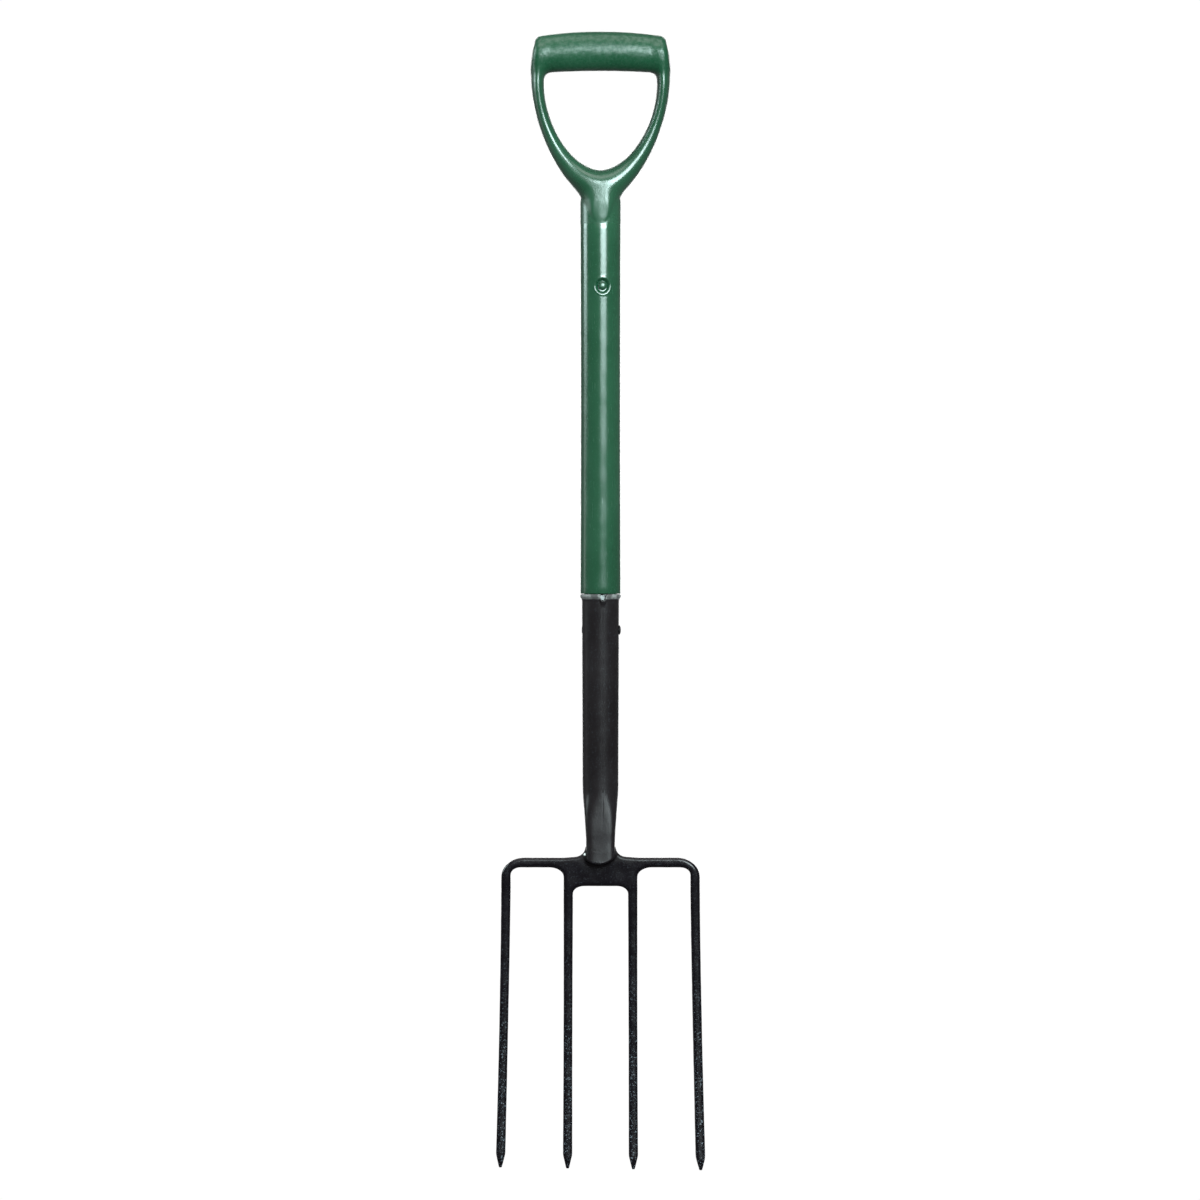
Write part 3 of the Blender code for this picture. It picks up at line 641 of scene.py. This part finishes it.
def dome(radius, height, base, steps=12):
    """Profile of a domed head on a short straight edge, from its top down to its base."""
    edge = 0.12 * height
    profile = [(0.0, base + height)]
    for i in range(1, steps + 1):
        a = pi / 2 * i / steps
        profile.append((radius * sin(a), base + edge + (height - edge) * cos(a)))
    return profile + [(radius, base)]


def shank(radius, head_base, tail, spread=0.0007):
    """Profile of a plain shank whose end is spread by hammering."""
    length = 0.0011
    return [
        (radius, head_base),
        (radius, tail + length),
        (radius + spread, tail + 0.8 * length),
        (radius + spread, tail + 0.35 * length),
        (radius + 0.5 * spread, tail + 0.08 * length),
        (0.0, tail),
    ]


def burr_profile():
    """Washer with its outer edge eased by the press."""
    return [
        (BURR_BORE, BURR_TOP),
        (BURR_RADIUS - 0.0004, BURR_TOP),
        (BURR_RADIUS - 0.0001, BURR_TOP - 0.0002),
        (BURR_RADIUS, BURR_TOP - 0.0006),
        (BURR_RADIUS - 0.0001, BURR_FOOT),
        (BURR_BORE, BURR_FOOT),
    ]


def make_rivets():
    profile = dome(*GRIP_RIVET_HEAD, GRIP_RIVET_BASE) + shank(RIVET_SHANK, GRIP_RIVET_BASE, GRIP_RIVET_TAIL)
    rivet = turned_piece("grip_rivet_skin", profile, outward(GRIP_RIVET_TURN, GRIP_RIVET_Z))
    finish_piece(rivet, green_metal, "green_paint", "grip_rivet")
    base = float(socket_radius(SOCKET_RIVET_Z)) - 0.0002
    profile = dome(*SOCKET_RIVET_HEAD, base) + shank(RIVET_SHANK, base, -base - 0.0004)
    rivet = turned_piece("socket_rivet_skin", profile, outward(SOCKET_RIVET_TURN, SOCKET_RIVET_Z))
    finish_piece(rivet, black_paint, "black_paint", "socket_rivet")
    burr = skin_rows("burr_skin", turned_rows(burr_profile(), 36), closed=True)
    burr.data.transform(outward(GRIP_RIVET_TURN + pi, GRIP_RIVET_Z))
    finish_piece(burr, steel, "bare_steel", "grip_rivet_burr")


# The head.


def arc(x, z, half_width, height, start, end, steps=6):
    """Points on an elliptical arc in the XZ plane, by angle in degrees from +X towards +Z."""
    angles = (radians(start + (end - start) * i / steps) for i in range(steps + 1))
    return [(x + half_width * cos(a), z + height * sin(a)) for a in angles]


def head_outline():
    """Right half of the head's outline, from above its neck round to the middle of the plate."""
    foot_x, foot_z = NECK_FILLET_FOOT
    under = TREAD_Z - SHOULDER_BAR
    low = -0.02
    outline = [(0.0, NECK_FILLET_TOP_Z + 0.01), (NECK_X, NECK_FILLET_TOP_Z + 0.01)]
    outline += arc(foot_x, NECK_FILLET_TOP_Z, foot_x - NECK_X, NECK_FILLET_TOP_Z - foot_z, 180, 270)
    outline += [(TREAD_INNER_X, TREAD_Z)]
    across, down = SHOULDER_WIDTH, SHOULDER_DROP
    outline += arc(SHOULDER_X - across, TREAD_Z - down, across, down, 90, 0, 14)
    outline += [(OUTER_TINE_X + TINE_HALF_WIDTH, low), (OUTER_TINE_X - TINE_HALF_WIDTH, low)]
    across, down = OUTER_CORNER
    outline += arc(OUTER_TINE_X - TINE_HALF_WIDTH - across, under - down, across, down, 0, 90, 7)
    across, down = INNER_CORNER
    outline += arc(INNER_TINE_X + TINE_HALF_WIDTH + across, under - down, across, down, 90, 180, 9)
    outline += [(INNER_TINE_X + TINE_HALF_WIDTH, low), (INNER_TINE_X - TINE_HALF_WIDTH, low)]
    across, down = MIDDLE_CORNER
    outline += arc(INNER_TINE_X - TINE_HALF_WIDTH - across, PLATE_BOTTOM_Z - down, across, down, 0, 90, 9)
    return outline + [(0.0, PLATE_BOTTOM_Z)]


def outline_distance(x, z, outline):
    """Signed distance from an outline that starts and ends on the centre line, negative inside."""
    least = np.full(x.shape, np.inf)
    inside = np.zeros(x.shape, bool)
    for (ax, az), (bx, bz) in zip(outline, outline[1:]):
        dx, dz = bx - ax, bz - az
        share = np.clip(((x - ax) * dx + (z - az) * dz) / (dx * dx + dz * dz), 0, 1)
        away = (x - ax - share * dx) ** 2 + (z - az - share * dz) ** 2
        least = np.minimum(least, away)
        if az != bz:
            crossed = (az > z) != (bz > z)
            inside ^= crossed & (x < ax + dx * (z - az) / dz)
    return np.where(inside, -1, 1) * np.sqrt(least)


HEAD_OUTLINE = head_outline()


def forging_field(points):
    """Fields of the forged plate with its tines, and of the neck above them."""
    x, y, z = points[:, 0].copy(), points[:, 1] - SHAFT_Y, points[:, 2]
    neck = oval_distance(x, y + neck_lean(z), NOSE_RADIUS, NOSE_RADIUS, neck_power(z))
    y = y + lean(z)
    below = np.maximum(0.0, (TINE_TOP_Z - z) / TINE_TOP_Z)
    outer = np.abs(x) > (OUTER_TINE_X + INNER_TINE_X) / 2
    root = np.where(outer, OUTER_TINE_X, INNER_TINE_X)
    across = np.abs(x) - root - np.where(outer, OUTER_TINE_SPLAY, INNER_TINE_SPLAY) * below**SPLAY_POWER
    # The right outer tine has twisted a little in the forge.
    twist = TIP_TWIST * smoothstep((TINE_FREE_Z - z) / TWIST_LENGTH) * (outer & (x > 0))
    across, y = across * np.cos(twist) + y * np.sin(twist), y * np.cos(twist) - across * np.sin(twist)
    tine = np.where(outer, np.where(x < 0, 0, 3), np.where(x < 0, 1, 2))
    tip_z = z - np.asarray(TIP_RISE)[tine]
    waist = TINE_WAIST + TINE_WAIST_GAIN * (2 * below - 1) ** 2
    blank_x = np.where(z < TINE_FREE_Z, root + across / waist, np.abs(x))
    y = y / (1 - TINE_SLIM_SHARE * smoothstep((TINE_SLIM_Z - z) / TINE_SLIM_LENGTH))
    edge = outline_distance(blank_x, z, HEAD_OUTLINE)
    face = np.abs(y) - HEAD_HALF_DEPTH
    forging = smooth_max(edge, face, EDGE_BLEND)
    forging = smooth_max(forging, (edge + face + HEAD_CHAMFER) * 0.7071, EDGE_BLEND)
    side_slope = (TINE_HALF_WIDTH - TIP_HALF_WIDTH) / TIP_SIDE_START
    front_slope = (HEAD_HALF_DEPTH - TIP_HALF_WIDTH) / TIP_FRONT_START
    ground = np.abs(across) - TIP_HALF_WIDTH - side_slope * tip_z
    forging = smooth_max(forging, ground, TIP_BLEND)
    ground = (np.abs(y) - TIP_HALF_WIDTH - front_slope * tip_z) * 0.9
    forging = smooth_max(forging, ground, TIP_BLEND)
    return smooth_max(forging, -tip_z, 2 * TIP_BLEND), neck


def head_field(points):
    """Whole head: the plate and tines, the neck's nose welded to them, and the tang."""
    z = points[:, 2]
    forging, neck = forging_field(points)
    run = points[:, 0] / NOSE_RADIUS
    edge = NOSE_BOTTOM_Z + NOSE_ARCH * run**2 + NOSE_TILT * run
    inset = NECK_INSET * smoothstep((z - SOCKET_FOOT_Z) / 0.0010)
    nose = rounded_max(neck + inset, edge - z, NOSE_ROUNDING)
    plate = smooth_max(forging, z - PLATE_TOP_Z, PLATE_TOP_BLEND)
    head = smooth_min(plate, smooth_max(nose, z - NECK_TOP_Z, 0.0003), WELD_BLEND)
    bead = np.hypot(nose, forging) - WELD_RADIUS - WELD_RIPPLE * wobble(points, 0.0050, 3)
    head = smooth_min(head, np.maximum(bead, z - SOCKET_FOOT_Z + 0.0012), 0.0012)
    for place, size in SPATTER:
        head = smooth_min(head, np.linalg.norm(points - place, axis=1) - size, SPATTER_BLEND)
    tang = smooth_max(neck + NOSE_RADIUS - TANG_RADIUS, z - TANG_TOP, TANG_ROUNDING)
    head = np.minimum(head, np.maximum(tang, TREAD_Z - z))
    return head + SKIN_UNEVENNESS * wobble(points, 0.0120, 5)


def make_head():
    head = settle(even_skin("fork_head", "head_forging", 0.0008), head_field, rounds=9)
    return finish_piece(head, black_paint, "black_paint", "fork_head", sharp=70)


# Finishes.


class Nodes:
    """Small helper that adds and joins shader nodes in one material."""

    def __init__(self, name):
        self.material = bpy.data.materials.new(name)
        self.material.use_nodes = True
        self.tree = self.material.node_tree
        self.shader = self.tree.nodes["Principled BSDF"]
        self.place = self.add("ShaderNodeTexCoord").outputs["Object"]

    def add(self, kind, **values):
        node = self.tree.nodes.new(kind)
        for name, value in values.items():
            setattr(node, name, value)
        return node

    def link(self, source, target):
        self.tree.links.new(source, target)

    def stretched(self, scale):
        mapping = self.add("ShaderNodeMapping")
        mapping.inputs["Scale"].default_value = scale
        self.link(self.place, mapping.inputs["Vector"])
        return mapping.outputs["Vector"]

    def noise(self, scale, detail=3.0, roughness=0.55, vector=None):
        node = self.add("ShaderNodeTexNoise")
        node.inputs["Scale"].default_value = scale
        node.inputs["Detail"].default_value = detail
        node.inputs["Roughness"].default_value = roughness
        self.link(vector or self.place, node.inputs["Vector"])
        return node.outputs["Fac"]

    def cells(self, scale):
        node = self.add("ShaderNodeTexVoronoi")
        node.inputs["Scale"].default_value = scale
        self.link(self.place, node.inputs["Vector"])
        return node.outputs["Distance"]

    def away(self, point):
        """Distance from a point."""
        node = self.add("ShaderNodeVectorMath", operation="DISTANCE")
        self.link(self.place, node.inputs[0])
        node.inputs[1].default_value = point
        return node.outputs["Value"]

    def height(self):
        split = self.add("ShaderNodeSeparateXYZ")
        self.link(self.place, split.inputs["Vector"])
        return split.outputs["Z"]

    def remap(self, source, low, high, to_low=0.0, to_high=1.0):
        node = self.add("ShaderNodeMapRange", interpolation_type="SMOOTHSTEP")
        for name, value in zip(("From Min", "From Max", "To Min", "To Max"), (low, high, to_low, to_high)):
            node.inputs[name].default_value = value
        self.link(source, node.inputs["Value"])
        return node.outputs["Result"]

    def calc(self, operation, a, b):
        """One sum of two sockets or numbers."""
        node = self.add("ShaderNodeMath", operation=operation)
        for socket, value in zip(node.inputs, (a, b)):
            if isinstance(value, (int, float)):
                socket.default_value = value
            else:
                self.link(value, socket)
        return node.outputs["Value"]

    def mix(self, share, a, b):
        """Blend of two colours or colour sockets by a share from 0 to 1."""
        node = self.add("ShaderNodeMix", data_type="RGBA")
        inputs = [s for s in node.inputs if s.type == "RGBA"]
        for socket, value in zip(inputs, (a, b)):
            if isinstance(value, tuple):
                socket.default_value = (*value, 1.0)
            else:
                self.link(value, socket)
        self.link(share, node.inputs["Factor"])
        return next(s for s in node.outputs if s.type == "RGBA")

    def bump(self, height, distance, strength=1.0, under=None):
        node = self.add("ShaderNodeBump")
        node.inputs["Strength"].default_value = strength
        node.inputs["Distance"].default_value = distance
        self.link(height, node.inputs["Height"])
        if under is not None:
            self.link(under, node.inputs["Normal"])
        return node.outputs["Normal"]

    def connect(self, **sockets):
        """Links or sets the shader's sockets by name, and returns the finished material."""
        for name, source in sockets.items():
            socket = self.shader.inputs[name.replace("_", " ").title().replace("Ior", "IOR")]
            if isinstance(source, (int, float)):
                socket.default_value = source
            else:
                self.link(source, socket)
        return self.material


GREEN = (0.0074, 0.0345, 0.0170)
DEEP_GREEN = (0.0042, 0.0270, 0.0122)
PALE_GREEN = (0.040, 0.120, 0.075)
LACQUER = ((0.0010, 0.0006, 0.0012), (0.0024, 0.0018, 0.0028))  # darkest and lightest of the mottle
SATIN = ((0.0052, 0.0038, 0.0042), (0.0078, 0.0060, 0.0066))
# Light grey of the specks on the tines: chipped paint, and partly a painted highlight.
CHIPS_AND_HIGHLIGHT = (0.085, 0.095, 0.110)
# Grey of the lip's band: worn paint, and partly a painted highlight.
RUBBED_AND_HIGHLIGHT = (0.135, 0.128, 0.125)
# Painted highlight: bright grey of the glint on a bead of spatter.
GLINT_GREY = (0.55, 0.54, 0.52)


def green_moulded(name, texture, sheen_low, sheen_high):
    """Moulded green plastic: flow marks, scratches and orange peel, duller and grainy on the bar."""
    nodes = Nodes(name)
    flow = nodes.remap(nodes.noise(14.0, 4.0), 0.35, 0.68)
    colour = nodes.mix(flow, DEEP_GREEN, GREEN)
    dust = nodes.remap(nodes.noise(900.0, 2.0), 0.60, 0.78, 0.0, 0.35)
    colour = nodes.mix(dust, colour, PALE_GREEN)
    scratches = nodes.noise(220.0, 2.0, vector=nodes.stretched((6.0, 6.0, 0.35)))
    rough = nodes.remap(nodes.noise(60.0, 4.0), 0.3, 0.7, sheen_low, sheen_high)
    rough = nodes.calc("ADD", rough, nodes.remap(scratches, 0.62, 0.75, 0.0, 0.10))
    bar = nodes.remap(nodes.height(), BAR_TOP - 0.0440, BAR_TOP - 0.0330)
    rough = nodes.calc("ADD", rough, nodes.calc("MULTIPLY", bar, 0.04))
    grain = nodes.calc("MULTIPLY", nodes.noise(560.0, 4.0, 0.7), bar)
    worn = nodes.bump(grain, 0.00030, 0.75)
    peel = nodes.bump(nodes.noise(420.0, 2.0), 0.00010, texture, worn)
    normal = nodes.bump(scratches, 0.00003, 0.5, peel)
    dull = nodes.remap(nodes.noise(300.0, 3.0, 0.65), 0.35, 0.65, 0.16, 0.36)
    shine = nodes.calc("SUBTRACT", 0.5, nodes.calc("MULTIPLY", bar, dull))
    return nodes.connect(base_color=colour, roughness=rough, normal=normal, specular_ior_level=shine)


def black_lacquer(name, sheen):
    """Black lacquer over steel: satin on the socket; lighter at its lip, worn paint with a painted
    highlight; speckled towards the points, chipped paint with a painted highlight.
    """
    nodes = Nodes(name)
    mottle = nodes.remap(nodes.noise(35.0, 4.0), 0.3, 0.7)
    colour = nodes.mix(mottle, *LACQUER)
    satin = nodes.remap(nodes.height(), NOSE_BOTTOM_Z, NOSE_BOTTOM_Z + 0.0055)
    colour = nodes.mix(satin, colour, nodes.mix(mottle, *SATIN))
    # Lighter specks that grow towards the points: chipped paint, and partly a painted highlight that
    # lightens the tines downwards.
    low = nodes.remap(nodes.height(), 0.24, 0.01, 0.08, 1.0)
    grit = nodes.noise(620.0, 3.0, 0.65)
    chips_and_highlight = nodes.calc("MULTIPLY", nodes.remap(grit, 0.56, 0.68), low)
    colour = nodes.mix(chips_and_highlight, colour, CHIPS_AND_HIGHLIGHT)
    # Lighter patchy band round the lip: worn paint, and partly a painted highlight of the lip's bright
    # edge.
    lip = nodes.remap(nodes.height(), SOCKET_HIGH.z - 0.0052, SOCKET_HIGH.z - 0.0034)
    rubbed_and_highlight = nodes.calc("MULTIPLY", lip, nodes.remap(nodes.noise(130.0, 3.0), 0.36, 0.56, 0.35, 1.0))
    colour = nodes.mix(rubbed_and_highlight, colour, RUBBED_AND_HIGHLIGHT)
    # Painted highlight: a bright grey spot on a bead of spatter, standing in for its glint.
    glint = nodes.remap(nodes.away(GLINT_SPOT), 0.0009, 0.0015, 1.0, 0.0)
    colour = nodes.mix(glint, colour, GLINT_GREY)
    rough = nodes.remap(nodes.noise(90.0, 4.0), 0.3, 0.7, sheen, sheen + 0.08)
    rough = nodes.calc("ADD", rough, nodes.calc("MULTIPLY", chips_and_highlight, 0.15))
    rough = nodes.calc("ADD", rough, nodes.calc("MULTIPLY", satin, 0.10))
    marks = nodes.bump(nodes.cells(110.0), 0.00025, 0.35)
    grain = nodes.bump(nodes.noise(520.0, 3.0), 0.00012, 0.5, marks)
    shine = nodes.calc("SUBTRACT", 0.20, nodes.calc("MULTIPLY", satin, 0.11))
    nodes.shader.inputs["Specular Tint"].default_value = (1.0, 0.90, 0.92, 1.0)
    return nodes.connect(base_color=colour, roughness=rough, normal=grain, specular_ior_level=shine)


def bare_metal(name, colour, rough):
    """Bare metal, brushed along the shaft."""
    nodes = Nodes(name)
    brush = nodes.noise(120.0, 3.0, vector=nodes.stretched((10.0, 10.0, 0.6)))
    tone = nodes.mix(nodes.remap(brush, 0.35, 0.65), colour, tuple(0.75 * c for c in colour))
    rough = nodes.remap(brush, 0.3, 0.7, rough, rough + 0.15)
    normal = nodes.bump(brush, 0.00004, 0.5)
    return nodes.connect(base_color=tone, roughness=rough, normal=normal, metallic=1.0)


def painted_rivet(name):
    """Green paint over the rivet's hammered head."""
    nodes = Nodes(name)
    dents = nodes.noise(480.0, 2.0)
    colour = nodes.mix(nodes.remap(dents, 0.35, 0.7), DEEP_GREEN, GREEN)
    rough = nodes.remap(dents, 0.3, 0.7, 0.22, 0.36)
    normal = nodes.bump(dents, 0.00012, 0.6)
    return nodes.connect(base_color=colour, roughness=rough, normal=normal, metallic=0.15)


# The stage.

STUDIO_RADIUS = 30.0
WHITE = (1.0, 1.0, 1.0)
COOL = (0.78, 1.0, 1.0)
AIR = (0.94, 0.97, 1.0)
AIR_STRENGTH = 0.25
VIEW_WIDTH = 1.08  # at the tool
CAMERA_LENS = 500.0
SENSOR_WIDTH = 36.0
CAMERA_X = -0.00045
CAMERA_Z = 0.51255


def glowing(name, strength):
    material = bpy.data.materials.new(name)
    material.use_nodes = True
    nodes = material.node_tree.nodes
    nodes.remove(nodes["Principled BSDF"])
    glow = nodes.new("ShaderNodeEmission")
    glow.inputs["Color"].default_value = (*WHITE, 1.0)
    glow.inputs["Strength"].default_value = strength
    material.node_tree.links.new(glow.outputs[0], nodes["Material Output"].inputs["Surface"])
    return material


def stage_piece(name, make, **options):
    """Part of the stage that the camera sees, kept out of the tool's light and reflections."""
    mesh = bpy.data.meshes.new(name)
    bm = bmesh.new()
    make(bm, radius=STUDIO_RADIUS, **options)
    bm.to_mesh(mesh)
    bm.free()
    piece = link_mesh(name, mesh)
    mesh.materials.append(stage_white)
    piece.visible_diffuse = piece.visible_glossy = piece.visible_shadow = False


def make_stage():
    """Pale floor inside a pale round studio, both lit evenly."""
    stage_piece("floor", bmesh.ops.create_circle, cap_ends=True, segments=96)
    stage_piece("studio", bmesh.ops.create_uvsphere, u_segments=64, v_segments=32)


def area_light(name, place, target, size, strength, colour=WHITE):
    """Rectangular light that faces a target, with strength as its power per unit of area."""
    light = bpy.data.lights.new(name, "AREA")
    light.shape = "RECTANGLE"
    light.size, light.size_y = size
    light.energy = strength * size[0] * size[1]
    light.color = colour
    obj = bpy.data.objects.new(name, light)
    obj.location = place
    obj.rotation_euler = (Vector(target) - obj.location).to_track_quat("-Z", "Y").to_euler()
    bpy.context.scene.collection.objects.link(obj)


def softbox(name, azimuth, distance, low, high, width, strength, colour=WHITE):
    """Upright softbox at an azimuth, where zero is the camera's side and +X is positive."""
    a, middle = radians(azimuth), (low + high) / 2
    place = (distance * sin(a), -distance * cos(a), middle)
    area_light(name, place, (0, 0, middle), (width, high - low), strength, colour)


def make_lights():
    softbox("key_box", azimuth=17, distance=2.2, low=0.875, high=2.3, width=1.20, strength=128, colour=COOL)
    softbox("side_box", azimuth=-97, distance=2.0, low=0.82, high=2.4, width=0.85, strength=42, colour=COOL)
    softbox("left_fill", azimuth=-104, distance=2.0, low=0.25, high=0.80, width=0.50, strength=4)
    softbox("back_box", azimuth=180, distance=3.0, low=0.2, high=2.3, width=2.0, strength=14)
    softbox("front_panel", azimuth=0, distance=6.0, low=1.70, high=5.0, width=6.0, strength=3.0)
    area_light("top_panel", place=(0.0, -0.3, 2.9), target=(0, 0, 1.0), size=(2.4, 1.6), strength=13)
    world = bpy.data.worlds.new("studio_air")
    world.use_nodes = True
    background = world.node_tree.nodes["Background"]
    background.inputs["Color"].default_value = (*AIR, 1.0)
    background.inputs["Strength"].default_value = AIR_STRENGTH
    bpy.context.scene.world = world


def make_camera():
    """Level long-lens view from the front."""
    camera = bpy.data.cameras.new("camera")
    camera.sensor_width = SENSOR_WIDTH
    camera.lens = CAMERA_LENS
    obj = bpy.data.objects.new("camera", camera)
    distance = VIEW_WIDTH * CAMERA_LENS / SENSOR_WIDTH
    obj.location = (CAMERA_X, -distance, CAMERA_Z)
    obj.rotation_euler = (pi / 2, 0, 0)
    camera.clip_end = 80.0
    bpy.context.scene.collection.objects.link(obj)
    bpy.context.scene.camera = obj


green_grip = green_moulded("green_grip", texture=0.55, sheen_low=0.26, sheen_high=0.36)
green_sleeve = green_moulded("green_sleeve", texture=0.30, sheen_low=0.17, sheen_high=0.23)
green_metal = painted_rivet("green_metal")
black_paint = black_lacquer("black_paint", sheen=0.19)
steel = bare_metal("steel", colour=(0.20, 0.20, 0.20), rough=0.55)
stage_white = glowing("stage_white", strength=1.02)

make_grip()
make_sleeve()
make_socket()
make_rivets()
make_head()
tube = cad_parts["shaft_tube"]
tube.data.materials.clear()
tube.data.materials.append(steel)

make_stage()
make_lights()
make_camera()
bpy.context.scene.view_settings.view_transform = "Standard"
